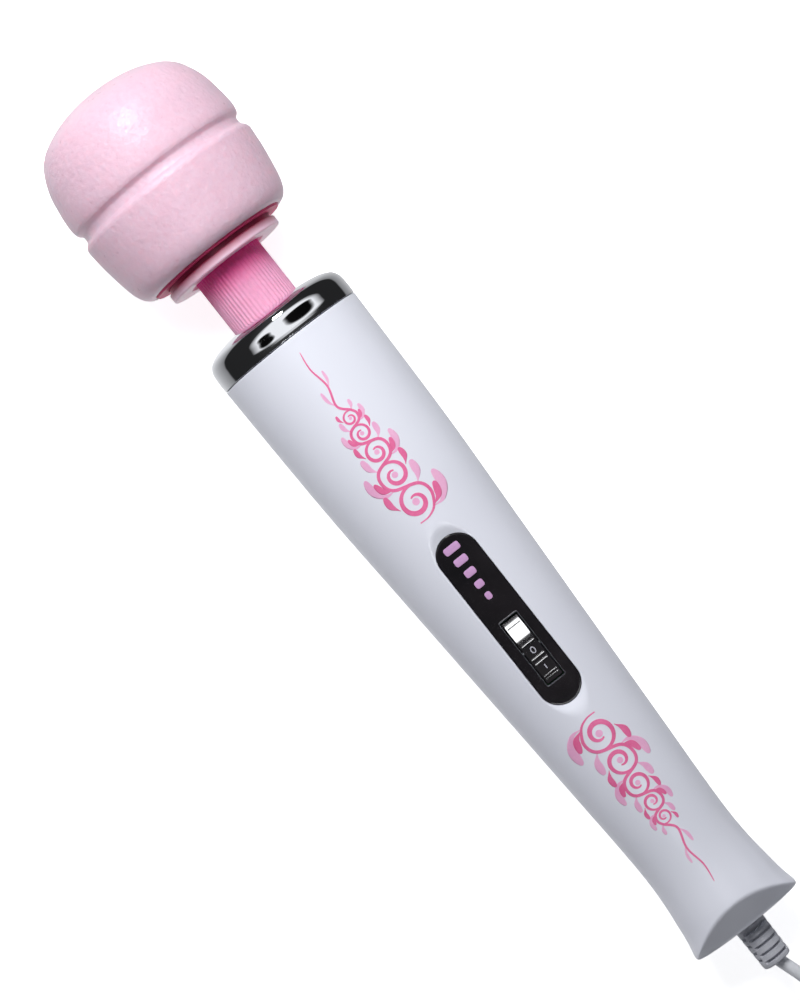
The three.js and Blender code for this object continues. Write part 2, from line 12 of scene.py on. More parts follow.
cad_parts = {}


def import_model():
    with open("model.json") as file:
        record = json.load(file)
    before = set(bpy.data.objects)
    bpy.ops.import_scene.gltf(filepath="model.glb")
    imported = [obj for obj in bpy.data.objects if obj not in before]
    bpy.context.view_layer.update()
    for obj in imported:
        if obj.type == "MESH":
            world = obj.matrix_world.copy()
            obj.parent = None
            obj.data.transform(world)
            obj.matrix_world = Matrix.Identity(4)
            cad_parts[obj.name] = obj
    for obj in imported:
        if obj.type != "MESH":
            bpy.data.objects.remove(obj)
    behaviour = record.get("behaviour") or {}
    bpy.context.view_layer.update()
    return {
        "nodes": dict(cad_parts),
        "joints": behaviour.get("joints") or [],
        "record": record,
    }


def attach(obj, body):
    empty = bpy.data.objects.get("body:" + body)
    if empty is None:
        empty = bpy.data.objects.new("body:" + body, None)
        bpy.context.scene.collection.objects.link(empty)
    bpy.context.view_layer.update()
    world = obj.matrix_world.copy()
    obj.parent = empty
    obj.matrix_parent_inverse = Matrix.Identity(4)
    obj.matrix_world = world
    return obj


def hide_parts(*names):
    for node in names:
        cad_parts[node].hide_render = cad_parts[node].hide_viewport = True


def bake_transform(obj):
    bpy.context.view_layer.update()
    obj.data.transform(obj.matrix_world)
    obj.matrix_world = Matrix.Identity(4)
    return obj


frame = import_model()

scene = bpy.context.scene

# -------------------- the wand's own frame
# Wand coordinates are in millimetres: x from the tail's flat face to the tip of the head,
# y to the wand's left, z out of its front.
JOINTS = {joint["name"]: joint for joint in frame["joints"]}
FRONT = np.array(JOINTS["neck_sway"]["axis"])
LEFT = np.array([0.0, 1.0, 0.0])
ALONG = np.cross(LEFT, FRONT)
BASIS = np.array([ALONG, LEFT, FRONT])
MM = 0.001
BEND_HINGE = 0.244  # metres from the tail's flat face, along the axis
TAIL = np.array(JOINTS["neck_bend"]["pos_m"]) - BEND_HINGE * ALONG


def world(points):
    return TAIL + np.asarray(points, float) * MM @ BASIS


def place(x, y=0.0, z=0.0):
    return Vector(world([x, y, z]))


# -------------------- camera
camera_data = bpy.data.cameras.new("camera")
camera_data.lens, camera_data.sensor_width = 122.4, 36
camera_data.clip_start, camera_data.clip_end = 0.05, 20
camera = bpy.data.objects.new("camera", camera_data)
scene.collection.objects.link(camera)
LEAN_COS, LEAN_SIN = 0.7848, 0.6197  # how far the wand leans to the left in the picture
VIEW_AXES = [-LEAN_SIN * ALONG - LEAN_COS * LEFT, LEAN_COS * ALONG - LEAN_SIN * LEFT, FRONT]
CAMERA_SPOT = place(168.0, 3.5, 1048)  # straight in front of the handle's middle
turned_view = Matrix(np.array(VIEW_AXES).T.tolist()).to_4x4()
camera.matrix_world = Matrix.Translation(CAMERA_SPOT) @ turned_view
scene.camera = camera

# -------------------- small geometry helpers


def spline(points, steps):
    """Uniform Catmull-Rom curve through the points, steps spans to each stretch."""
    points = np.asarray(points, float)
    padded = np.vstack([points[:1], points, points[-1:]])
    t = np.arange(steps)[:, None] / steps
    curve = []
    for k in range(len(points) - 1):
        p0, p1, p2, p3 = padded[k : k + 4]
        square, cube = 2 * p0 - 5 * p1 + 4 * p2 - p3, 3 * p1 - p0 - 3 * p2 + p3
        curve.append(0.5 * (2 * p1 + (p2 - p0) * t + square * t**2 + cube * t**3))
    return np.vstack([*curve, points[-1:]])


def rounded(corners, steps=5, closed=True):
    """Polyline with its corners turned into arcs. A corner is (x, y) or (x, y, radius)."""
    made = []
    count = len(corners)
    for k, corner in enumerate(corners):
        here = np.array(corner[:2], float)
        radius = corner[2] if len(corner) > 2 else 0.0
        if radius == 0 or (not closed and k in (0, count - 1)):
            made.append(here)
            continue
        before = np.array(corners[k - 1][:2], float) - here
        after = np.array(corners[(k + 1) % count][:2], float) - here
        reach_before, reach_after = np.linalg.norm(before), np.linalg.norm(after)
        before, after = before / reach_before, after / reach_after
        half = math.acos(max(-1, min(1, float(before @ after)))) / 2
        reach = min(radius / math.tan(half), 0.48 * reach_before, 0.48 * reach_after)
        start, end = here + before * reach, here + after * reach
        for step in range(steps + 1):
            t = step / steps
            made.append(start * (1 - t) ** 2 + here * 2 * t * (1 - t) + end * t**2)
    return np.array(made)


def round_turn(count):
    return 2 * np.pi * np.arange(count) / count


def ellipse(x, y, half_x, half_y, count):
    turn = round_turn(count)
    return np.stack([x + half_x * np.cos(turn), y + half_y * np.sin(turn)], 1)


def grid_faces(rows, columns, wrap_rows=False, wrap_columns=False):
    """Four-sided faces of a grid of points, open or closed round either way."""
    i = np.arange(rows if wrap_rows else rows - 1)[:, None]
    j = np.arange(columns if wrap_columns else columns - 1)[None, :]
    i2, j2 = (i + 1) % rows, (j + 1) % columns
    quads = [i * columns + j, i2 * columns + j, i2 * columns + j2, i * columns + j2]
    return np.stack(np.broadcast_arrays(*quads), -1).reshape(-1, 4).tolist()


def clean(mesh, crease):
    """Welds, turns the faces outwards and shades smooth up to the crease angle."""
    shape = bmesh.new()
    shape.from_mesh(mesh)
    bmesh.ops.remove_doubles(shape, verts=shape.verts, dist=2e-7)
    bmesh.ops.dissolve_degenerate(shape, edges=shape.edges, dist=1e-7)
    bmesh.ops.recalc_face_normals(shape, faces=shape.faces)
    shape.to_mesh(mesh)
    shape.free()
    mesh.shade_smooth()
    mesh.set_sharp_from_angle(angle=math.radians(crease))


def piece(name, points, faces, body, material, replaces=(), crease=35):
    """A new closed mesh from points in metres. body is a CAD body, or None to leave the piece
    unattached.
    """
    points = np.array(points)
    points[:, 2] = np.maximum(points[:, 2], 0)  # what rests on the floor is flat there
    mesh = bpy.data.meshes.new(name)
    mesh.from_pydata(points.tolist(), [], faces)
    clean(mesh, crease)
    mesh.materials.append(material)
    made = bpy.data.objects.new(name, mesh)
    scene.collection.objects.link(made)
    if body:
        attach(made, body)
    if replaces:
        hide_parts(*replaces)
    return made


def turned(outline, sides, radius_of=None):
    """Points and faces of an outline of (x, radius) turned about the wand's axis."""
    outline = np.asarray(outline, float)
    closed = outline[0, 1] > 1e-6
    angle = round_turn(sides)
    x = np.repeat(outline[:, :1], sides, 1)
    radius = np.repeat(outline[:, 1:2], sides, 1)
    if radius_of is not None:
        radius = radius_of(x, radius, angle[None, :])
    points = np.stack([x, radius * np.sin(angle), radius * np.cos(angle)], -1)
    return points.reshape(-1, 3), grid_faces(len(outline), sides, closed, True)


def lathe(name, outline, sides, body, material, replaces=(), crease=35, radius_of=None):
    points, faces = turned(outline, sides, radius_of)
    return piece(name, world(points), faces, body, material, replaces, crease)


def inset(loop, distance):
    """A closed loop moved inwards (to its left) by a distance."""
    loop = np.asarray(loop, float)
    before = loop - np.roll(loop, 1, 0)
    after = np.roll(loop, -1, 0) - loop
    normals = []
    for edge in (before, after):
        edge = edge / np.maximum(np.linalg.norm(edge, axis=1, keepdims=True), 1e-9)
        normals.append(np.stack([-edge[:, 1], edge[:, 0]], 1))
    middle = normals[0] + normals[1]
    middle /= np.maximum(np.linalg.norm(middle, axis=1, keepdims=True), 1e-9)
    stretch = 1 / np.maximum((middle * normals[0]).sum(1, keepdims=True), 0.5)
    return loop + middle * distance * stretch


def plate(outer, bottom, top, bevel, holes=(), bevel_steps=3, bottom_bevel=None, hold=0.0):
    """A flat plate with rounded edges: points (x, y, z) and faces. Loops run anticlockwise."""
    low_bevel = bevel if bottom_bevel is None else bottom_bevel
    loops = [np.asarray(outer, float)] + [np.asarray(hole, float)[::-1] for hole in holes]
    turns = np.linspace(0, math.pi / 2, bevel_steps + 1)
    low = [(low_bevel * (1 - math.sin(t)), bottom + low_bevel * (1 - math.cos(t))) for t in turns]
    high = [(bevel * (1 - math.cos(t)), top - bevel * (1 - math.sin(t))) for t in turns]
    points, faces, caps = [], [], []
    for loop in loops:
        base, count = len(points), len(loop)
        levels = low + high
        if hold:  # loops next to the rounded edges, so that the flats shade flat
            levels = [(low_bevel + hold, bottom), *low, (0.0, bottom + low_bevel + hold),
                      (0.0, top - bevel - hold), *high, (bevel + hold, top)]
        for depth, height in levels:
            for x, y in inset(loop, depth):
                points.append((x, y, height))
        for face in grid_faces(len(levels), count, False, True):
            faces.append([base + corner for corner in face])
        caps.append((base, base + (len(levels) - 1) * count, count))
    for end in (0, 1):
        rings, where = [], []
        for low_start, high_start, count in caps:
            start = high_start if end else low_start
            rings.append([Vector(points[start + k]) for k in range(count)])
            where.extend(range(start, start + count))
        for triangle in tessellate_polygon(rings):
            faces.append([where[corner] for corner in triangle])
    return np.array(points), faces


def stadium(half_length, half_width, steps=24):
    """A long outline with two half-round ends."""
    turn = np.linspace(-math.pi / 2, math.pi / 2, steps + 1)
    straight = half_length - half_width
    right = np.stack([straight + half_width * np.cos(turn), half_width * np.sin(turn)], 1)
    return np.vstack([right, -right])


def oblong(x0, x1, half_width, radius, steps=5):
    """A rectangle with rounded corners."""
    corners = [(x0, -half_width), (x1, -half_width), (x1, half_width), (x0, half_width)]
    return rounded([(*corner, radius) for corner in corners], steps)


def joined(*parts):
    """Several (points, faces) as one."""
    points, faces = [], []
    for part_points, part_faces in parts:
        base = sum(len(p) for p in points)
        points.append(np.asarray(part_points, float))
        faces.extend([[base + corner for corner in face] for face in part_faces])
    return np.vstack(points), faces


def combine(target, points, faces, operation):
    """Cuts from target, or joins to it, a closed shape given in wand millimetres."""
    mesh = bpy.data.meshes.new("tool")
    mesh.from_pydata(world(points).tolist(), [], faces)
    clean(mesh, 30)
    tool = bpy.data.objects.new("tool", mesh)
    scene.collection.objects.link(tool)
    modifier = target.modifiers.new("combine", "BOOLEAN")
    modifier.operation = operation
    modifier.solver = "EXACT"
    modifier.object = tool
    bpy.context.view_layer.update()
    evaluated = target.evaluated_get(bpy.context.evaluated_depsgraph_get())
    result = bpy.data.meshes.new_from_object(evaluated)
    target.modifiers.clear()
    material = target.data.materials[0]
    target.data = result
    result.materials.clear()
    result.materials.append(material)
    bpy.data.objects.remove(tool)


# -------------------- materials


def linear(red, green, blue):
    """An sRGB colour of 0 to 255 as the linear colour that a shader takes."""
    parts = []
    for part in (red, green, blue):
        part = part / 255
        parts.append(part / 12.92 if part <= 0.04045 else ((part + 0.055) / 1.055) ** 2.4)
    return (*parts, 1.0)


class Nodes:
    """A material with a Principled shader, and shorthand for the nodes that feed it."""

    def __init__(self, name, **settings):
        self.material = bpy.data.materials.new(name)
        self.material.use_nodes = True
        self.tree = self.material.node_tree
        self.shader = self.tree.nodes["Principled BSDF"]
        for key, value in settings.items():
            self.shader.inputs[key.replace("_", " ")].default_value = value
        self.place = self.node("ShaderNodeTexCoord").outputs["Object"]

    def node(self, kind, inputs=None, **attributes):
        made = self.tree.nodes.new(kind)
        for key, value in attributes.items():
            setattr(made, key, value)
        for key, value in (inputs or {}).items():
            if isinstance(value, bpy.types.NodeSocket):
                self.tree.links.new(value, made.inputs[key])
            else:
                made.inputs[key].default_value = value
        return made

    def link(self, output, key):
        self.tree.links.new(output, self.shader.inputs[key])

    def color(self, value, stops):
        self.link(self.ramp(value, stops), "Base Color")

    def noise(self, scale, detail, roughness=0.55):
        inputs = {"Vector": self.place, "Scale": scale, "Detail": detail, "Roughness": roughness}
        return self.node("ShaderNodeTexNoise", inputs).outputs["Fac"]

    def ramp(self, value, stops):
        made = self.node("ShaderNodeValToRGB", {"Fac": value})
        ramp = made.color_ramp
        while len(ramp.elements) < len(stops):
            ramp.elements.new(0.5)
        for element, (position, color) in zip(ramp.elements, stops):
            element.position = position
            element.color = color
        return made.outputs["Color"]

    def remap(self, value, low, high, new_low, new_high):
        inputs = {0: value, 1: low, 2: high, 3: new_low, 4: new_high}
        return self.node("ShaderNodeMapRange", inputs).outputs[0]

    def mix(self, factor, first, second, blend="MIX"):
        inputs = {0: factor, 6: first, 7: second}
        made = self.node("ShaderNodeMix", inputs, data_type="RGBA", blend_type=blend)
        return made.outputs[2]

    def along(self, offset_mm):
        """Distance along the wand's axis from a station, in millimetres."""
        value = self.place
        for operation, other in (
            ("SUBTRACT", TAIL + ALONG * offset_mm * MM),
            ("DOT_PRODUCT", ALONG / MM),
        ):
            made = self.node(
                "ShaderNodeVectorMath", {0: value, 1: other.tolist()}, operation=operation
            )
            value = made.outputs[0]
        return made.outputs["Value"]

    def bump(self, height, strength, distance, under=None):
        inputs = {"Height": height, "Strength": strength, "Distance": distance}
        if under is not None:
            inputs["Normal"] = under
        return self.node("ShaderNodeBump", inputs).outputs["Normal"]


def plain(name, light, dark, rough, scale, bump, **settings):
    """A finish with mottled colour, uneven gloss and a fine grain."""
    made = Nodes(name, **settings)
    broad = made.noise(scale * 0.12, 4)
    fine = made.noise(scale, 5, 0.65)
    spread = made.remap(made.mix(0.4, broad, fine), 0.35, 0.65, 0, 1)
    made.color(spread, [(0.0, linear(*dark)), (1.0, linear(*light))])
    made.link(made.remap(broad, 0.3, 0.7, rough[0], rough[1]), "Roughness")
    made.link(made.bump(fine, bump, 0.00012), "Normal")
    return made.material


def metal(*values):
    return plain(*values, Metallic=1.0)


def shell_finish():
    made = Nodes("shell_white", Coat_Weight=0.35, Coat_Roughness=0.16)
    broad = made.noise(14, 2)
    grain = made.noise(1500, 4, 0.7)
    made.color(broad, [(0.0, linear(223, 225, 236)), (1.0, linear(235, 237, 246))])
    made.link(made.remap(made.noise(60, 2), 0, 1, 0.24, 0.40), "Roughness")
    waves = made.bump(made.noise(22, 2), 0.10, 0.0006)
    made.link(made.bump(grain, 0.06, 0.00006, waves), "Normal")
    return made.material


def silicone_finish(name, light, dark, grain=1.0, subsurface=0.45, painted_shade_span=None):
    """Soft mottled silicone. painted_shade_span is a stretch of the axis, in mm, over which it
    turns crimson: painted shade of the gap under the head.
    """
    made = Nodes(
        name, Subsurface_Weight=subsurface, Subsurface_Radius=(1.0, 0.42, 0.45),
        Subsurface_Scale=0.006, Coat_Weight=0.25, Coat_Roughness=0.24,
    )
    cells = made.node(
        "ShaderNodeTexVoronoi", {"Vector": made.place, "Scale": 620.0}, feature="SMOOTH_F1"
    ).outputs["Distance"]
    mottle = made.noise(560, 4, 0.65)
    broad = made.noise(60, 3)
    spread = made.remap(made.mix(0.3, mottle, broad), 0.3, 0.7, 0, 1)
    color = made.ramp(spread, [(0.0, linear(*dark)), (1.0, linear(*light))])
    if painted_shade_span:
        # painted shade: deep crimson over the given stretch of the axis
        pale = made.remap(made.along(painted_shade_span[0]), 0, painted_shade_span[1] - painted_shade_span[0], 0, 1)
        color = made.mix(pale, linear(168, 34, 84), color)
    made.link(color, "Base Color")
    made.link(made.remap(mottle, 0.3, 0.7, 0.26, 0.44), "Roughness")
    under = made.bump(cells, 0.6 * grain, 0.00025)
    uneven = made.bump(mottle, 0.7 * grain, 0.00030, under)
    made.link(uneven, "Normal")
    made.link(uneven, "Coat Normal")
    return made.material


def neck_finish():
    """Deep crimson up under the head, paler towards the collar: painted shade under the flange and
    painted glow of light through the silicone.
    """
    made = Nodes(
        "neck_pink", Subsurface_Weight=0.2, Subsurface_Radius=(1.0, 0.3, 0.4),
        Subsurface_Scale=0.002,
    )
    # painted shade: crimson towards the head, pale towards the collar
    painted_shade_fade = made.remap(made.along(236.0), 0.0, 24.0, 0.0, 1.0)
    color = made.ramp(painted_shade_fade, [
        (0.0, linear(236, 174, 203)), (0.48, linear(230, 160, 194)), (0.66, linear(224, 128, 172)),
        (0.78, linear(232, 90, 156)), (0.90, linear(252, 70, 164)),
    ])
    fine = made.noise(700, 4, 0.6)
    shade = made.ramp(fine, [(0.3, (0.92, 0.9, 0.91, 1)), (0.7, (1, 1, 1, 1))])
    made.link(made.mix(1.0, color, shade, "MULTIPLY"), "Base Color")
    made.link(made.remap(fine, 0.3, 0.7, 0.36, 0.5), "Roughness")
    made.link(made.bump(fine, 0.12, 0.0001), "Normal")
    return made.material


def chrome_finish():
    made = Nodes("collar_chrome", Metallic=1.0)
    broad = made.noise(40, 3)
    made.color(broad, [(0.3, (0.80, 0.81, 0.84, 1)), (0.7, (0.86, 0.865, 0.89, 1))])
    made.link(made.remap(made.noise(500, 5, 0.7), 0.3, 0.75, 0.025, 0.06), "Roughness")
    made.link(made.bump(made.noise(18, 1), 0.05, 0.0004), "Normal")
    return made.material


def black_finish(name, coat, coat_ior):
    made = Nodes(name, Coat_Weight=coat, Coat_IOR=coat_ior, Coat_Roughness=0.03)
    broad = made.noise(60, 3)
    made.color(broad, [(0.3, linear(19, 18, 21)), (0.7, linear(33, 30, 33))])
    made.link(made.remap(made.noise(700, 4), 0.3, 0.7, 0.05, 0.10), "Roughness")
    made.link(made.bump(made.noise(30, 2), 0.05, 0.0003), "Normal")
    return made.material


SHELL = shell_finish()
CUSHION = silicone_finish("silicone_pink", (232, 200, 216), (224, 187, 205))
NECK = neck_finish()
# the hub is painted crimson past the flange: painted shade of the gap under the cushion
FLANGE = silicone_finish(
    "flange_pink", (250, 210, 228), (244, 196, 216), 0.3, 0.35, painted_shade_span=(261.4, 258.9)
)
CHROME = chrome_finish()
BLACK = black_finish("panel_black", 0.5, 1.5)
ROCKER_BLACK = black_finish("rocker_black", 1.0, 2.4)
CORD = plain("cord_grey", (226, 228, 233), (212, 214, 220), (0.38, 0.5), 800, 0.15)
RELIEF = plain("relief_grey", (196, 197, 204), (178, 180, 188), (0.4, 0.52), 900, 0.2)
STEEL = metal("steel", (190, 193, 198), (160, 163, 170), (0.22, 0.36), 900, 0.1)
DARK_STEEL = metal("dark_steel", (128, 130, 136), (96, 98, 104), (0.35, 0.5), 700, 0.15)
BRASS = metal("brass", (214, 178, 96), (186, 148, 70), (0.2, 0.34), 900, 0.08)
COPPER = metal("copper", (200, 120, 76), (168, 92, 54), (0.25, 0.4), 900, 0.1)
PINK_DARK = plain("print_deep_pink", (234, 120, 168), (224, 100, 150), (0.3, 0.4), 1500, 0.04)
PINK_LIGHT = plain("print_light_pink", (240, 184, 216), (231, 167, 206), (0.3, 0.4), 1500, 0.04)
LILAC = plain("print_lilac", (206, 162, 208), (190, 144, 192), (0.3, 0.42), 1500, 0.04)
PALE_MARK = plain("print_pale", (196, 196, 206), (170, 170, 182), (0.3, 0.42), 1500, 0.04)
RUBBER = plain("rubber_black", (46, 46, 50), (28, 28, 31), (0.6, 0.8), 900, 0.3)

INSIDE = {  # finishes of the CAD nodes that stay, by slot
    name: plain(name, *finish)
    for name, *finish in (
        ("dark_plastic", (58, 60, 66), (40, 42, 47), (0.4, 0.55), 900, 0.2),
        ("ferrite", (66, 66, 70), (44, 44, 48), (0.6, 0.78), 900, 0.3),
        ("board_green", (46, 118, 66), (30, 92, 48), (0.4, 0.55), 700, 0.15),
        ("wire_red", (190, 56, 50), (164, 40, 36), (0.4, 0.55), 900, 0.1),
        ("wire_blue", (58, 88, 158), (42, 68, 130), (0.4, 0.55), 900, 0.1),
    )
}
INSIDE.update(steel=STEEL, dark_steel=DARK_STEEL, brass=BRASS, copper=COPPER)
INSIDE.update(rubber_black=RUBBER, cord_grey=CORD)

# -------------------- mains lead, coil, tie and plug
CORD_DIAMETER = 4.0
LEAD = [  # from the strain relief to the top of the coil
    (-168.6, 0.0, 16.87), (-170.5, -0.5, 16.8), (-173.5, -1.5, 16.7), (-177.0, -2.7, 16.5),
    (-182.0, -3.95, 16.1), (-187.4, -5.1, 15.7), (-192.7, -6.2, 15.3), (-198.0, -7.4, 15.1),
    (-203.6, -8.6, 14.98),
]
COIL_CENTRE = (-203.0, -39.0)
COIL_RADII = (29.8, 18.2)  # outer and inner turn
COIL_LAYERS = (14.9, 10.9, 6.9, 3.0)  # heights, top layer first
COIL_TURNS = 11.45
COIL_START = math.radians(102.35)
STEP_DOWN = 0.12  # share of a layer in which the cord steps down to the next
TAIL_RUN = [  # from the foot of the coil to the plug
    (-199.5, -69.1, 2.7), (-194.0, -69.6, 2.6), (-188.6, -70.2, 3.0), (-184.8, -70.5, 4.0),
    (-180.6, -70.9, 5.9), (-176.6, -71.2, 7.0), (-174.2, -71.45, 7.2),
]


def coil_points(per_turn=24):
    """Four flat layers: the top one winds inwards, the next outwards, and so on down."""
    outer, inner = COIL_RADII
    per_layer = COIL_TURNS / len(COIL_LAYERS)
    made = []
    count = int(COIL_TURNS * per_turn)
    for k in range(count + 1):
        turns = COIL_TURNS * k / count
        layer = min(int(turns / per_layer), len(COIL_LAYERS) - 1)
        share = turns / per_layer - layer
        inwards = share if layer % 2 == 0 else 1 - share
        radius = outer + (inner - outer) * inwards
        height = COIL_LAYERS[layer]
        if layer + 1 < len(COIL_LAYERS):
            step = max(0.0, (share - 1 + STEP_DOWN) / STEP_DOWN)
            drop = step * step * (3 - 2 * step)
            height += (COIL_LAYERS[layer + 1] - height) * drop
        angle = COIL_START + 2 * math.pi * turns
        x = COIL_CENTRE[0] + radius * math.cos(angle)
        y = COIL_CENTRE[1] + radius * math.sin(angle)
        made.append((x, y, height))
    return made


def make_cord():
    route = np.array(LEAD + coil_points() + TAIL_RUN) * MM
    curve = bpy.data.curves.new("mains_lead", "CURVE")
    curve.dimensions = "3D"
    curve.bevel_depth = CORD_DIAMETER / 2 * MM
    curve.bevel_resolution = 5
    curve.resolution_u = 3
    curve.use_fill_caps = True
    run = curve.splines.new("NURBS")
    run.points.add(len(route) - 1)
    for point, position in zip(run.points, route):
        point.co = (*position, 1.0)
    run.order_u = 4
    run.use_endpoint_u = True
    curve.materials.append(CORD)
    cord = bpy.data.objects.new("mains_lead", curve)
    scene.collection.objects.link(cord)
    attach(cord, "handle")
    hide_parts("mains_cord", "cord_coil", "cord_tail")
    return cord


TIE_ANGLE = math.radians(200)


def make_tie():
    """A strap round the coil's section, with a folded-over tab."""
    clear, wall, top = 8.15, 0.7, 17.35

    def frame_of(left, right, low, high, low_radius, high_radius, steps):
        return rounded([(left, low, low_radius), (right, low, low_radius),
                        (right, high, high_radius), (left, high, high_radius)], steps)

    outer = frame_of(-clear - wall, clear + wall, 0.0, top + wall, 2.2, 2.2, 6)
    inner = frame_of(-clear, clear, wall, top, 1.6, 1.6, 6)
    strap = plate(outer, -2.5, 2.5, 0.15, [inner], 2)
    tab_outline = frame_of(-6.0, 4.0, top + 0.5, top + 1.5, 0.3, 0.4, 4)
    tab = plate(tab_outline, -2.3, 2.3, 0.2, (), 2)
    points, faces = joined(strap, tab)
    cos, sin = math.cos(TIE_ANGLE), math.sin(TIE_ANGLE)
    away, across = np.array([cos, sin, 0]), np.array([-sin, cos, 0])
    centre = np.array([*COIL_CENTRE, 0.0]) + sum(COIL_RADII) / 2 * away
    placed = centre + points @ np.array([away, [0, 0, 1], across])
    return piece("lead_tie", placed * MM, faces, "handle", RUBBER, ["cord_tie"])


PLUG_START = np.array([-175.5, -71.3, 7.2])
PLUG_TURN = math.radians(-5)


def on_plug(points):
    """Plug coordinates (along it, to its left, up) to metres."""
    cos, sin = math.cos(PLUG_TURN), math.sin(PLUG_TURN)
    turn = np.array([[cos, sin, 0], [-sin, cos, 0], [0, 0, 1]])
    return (PLUG_START + np.asarray(points, float) @ turn) * MM


def make_plug():
    """One moulding lofted along its axis: ribbed sleeve, shoulders, waisted grip, flat face."""
    stations = [(0.0, 2.6, 2.6, 2.0), (0.3, 3.1, 3.1, 2.0)]
    for k in range(6):
        start = 1.8 + 2.6 * k
        size = 3.1 + 1.5 * start / 18
        for shift, depth in ((0.0, 0.0), (0.25, 0.6), (0.95, 0.6), (1.2, 0.0)):
            stations.append((start + shift, size - depth, size - depth, 2.0))
    stations += [(17.6, 4.6, 4.5, 2.0), (18.3, 5.6, 5.0, 2.2), (19.6, 7.4, 5.7, 2.6),
                 (22.0, 9.0, 6.1, 3.0), (25.0, 9.6, 6.25, 3.4)]
    for k in range(5):
        start = 27.0 + 2.0 * k
        for shift, depth in ((0.0, 0.0), (0.3, 0.45), (0.9, 0.45), (1.2, 0.0)):
            stations.append((start + shift, 9.65 - depth, 6.3 - depth, 3.6))
    stations += [(38.5, 9.9, 6.4, 4.2), (41.2, 10.0, 6.4, 4.6), (41.8, 9.8, 6.2, 4.6),
                 (42.0, 9.3, 5.7, 4.6)]
    sides = 96
    turn = round_turn(sides)
    rows = [np.zeros((sides, 3)) + [stations[0][0], 0, 0]]
    cos, sin = np.cos(turn), np.sin(turn)
    for u, width, height, power in stations:
        across = width * np.sign(cos) * np.abs(cos) ** (2 / power)
        up = height * np.sign(sin) * np.abs(sin) ** (2 / power)
        rows.append(np.stack([np.full(sides, u), across, up], 1))
    rows.append(np.zeros((sides, 3)) + [stations[-1][0], 0, 0])
    body = piece(
        "plug_moulding", on_plug(np.vstack(rows)), grid_faces(len(rows), sides, False, True),
        "handle", CORD, ["plug_body"], 40,
    )
    blades = []
    for number, side in ((1, -1), (2, 1)):
        outline = rounded(
            [(40.0, -3.15), (58.0, -3.15, 1.6), (58.0, 3.15, 1.6), (40.0, 3.15)], 6
        )
        hole = ellipse(54.6, 0, 1.5, 1.5, 24)
        flat, faces = plate(outline, -0.75, 0.75, 0.2, [hole], 2)
        upright = np.stack([flat[:, 0], side * 6.35 + flat[:, 2], flat[:, 1]], 1)
        blades.append(piece(
            f"plug_blade_{number}", on_plug(upright), faces, "handle", BRASS,
            [f"plug_pin_{number}"],
        ))
    return [body, *blades]


cord = make_cord()
tie = make_tie()
plug_pieces = make_plug()

# -------------------- handle shells
HANDLE_OUTLINE = spline(
    [(1.2, 19.5), (10, 17.98), (30, 16.6), (68, 18.3), (105, 20.2), (142, 22.1), (180, 24),
     (226.7, 25.1)],
    24,
)
SHOULDER_X = 226.7
NOSE_X = 232.0
NOSE_RADIUS = 22.9
SHELL_SPLIT = 0.17  # half the gap between the shells, in degrees round the axis
CORD_HOLE = 4.95
WALL = 2.2
END_WALL = 3.2
PANEL_X = 119.4
PANEL_HALF_LENGTH = 31.4
PANEL_HALF_WIDTH = 6.86
DISH_DEPTH = 1.25
DISH_RAMP = 4.3
ROCKER_OFFSET = -11.5
ROCKER_LENGTH = 22.6
ROCKER_WIDTH = 5.8
RIB_TILT = 0.075


def handle_radius(x):
    return np.interp(x, HANDLE_OUTLINE[:, 0], HANDLE_OUTLINE[:, 1])


LOW_END, HIGH_END = handle_radius([PANEL_X - PANEL_HALF_LENGTH, PANEL_X + PANEL_HALF_LENGTH])
CREST_RISE = math.atan2(float(HIGH_END - LOW_END), 2 * PANEL_HALF_LENGTH)
PANEL_HEIGHT = float(handle_radius(PANEL_X)) - DISH_DEPTH


def on_panel(points):
    """Panel coordinates (along the crest, to the left, out of the panel's face) to wand ones."""
    points = np.asarray(points, float)
    cos, sin = math.cos(CREST_RISE), math.sin(CREST_RISE)
    u, v, w = points[:, 0], points[:, 1], points[:, 2]
    return np.stack([PANEL_X + u * cos - w * sin, v, PANEL_HEIGHT + u * sin + w * cos], 1)


def smooth_min(a, b, reach):
    share = np.clip(0.5 + 0.5 * (b - a) / reach, 0, 1)
    return b * (1 - share) + a * share - reach * share * (1 - share)


def outside_stadium(x, y):
    """Distance outside the panel's outline."""
    past = np.maximum(np.abs(x) - (PANEL_HALF_LENGTH - PANEL_HALF_WIDTH), 0)
    return np.maximum(np.hypot(past, y) - PANEL_HALF_WIDTH, 0)


def shell_radius(x, angle):
    """Distance of the outer surface from the axis. The tail is scooped front and back."""
    height = 10.8 + 0.793 * np.maximum(x, 0)
    scoop = 1 / np.sqrt((np.cos(angle) / height) ** 2 + (np.sin(angle) / (1.815 * height)) ** 2)
    return smooth_min(handle_radius(x), scoop, 0.55)


def dished(x, y, z):
    """The front's height after the dish round the panel is sunk into it."""
    u = (x - PANEL_X) / math.cos(CREST_RISE)
    out = outside_stadium(u, y)
    rise = np.where(
        out < DISH_RAMP,
        DISH_DEPTH * (1 - (1 - np.minimum(out, DISH_RAMP) / DISH_RAMP) ** 1.2),
        DISH_DEPTH + (out - DISH_RAMP) * 0.5,
    )
    sunk = PANEL_HEIGHT + (x - PANEL_X) * math.tan(CREST_RISE) + rise / math.cos(CREST_RISE)
    return smooth_min(z, sunk, 0.4)


def seated(x, y, z):
    """The front's inner height, thickened under the panel."""
    u = (x - PANEL_X) / math.cos(CREST_RISE)
    out = np.maximum(outside_stadium(u, y) - 2.2, 0)
    seat = PANEL_HEIGHT - 4.2 + (x - PANEL_X) * math.tan(CREST_RISE) + 4 * out
    return smooth_min(z, seat, 0.4)


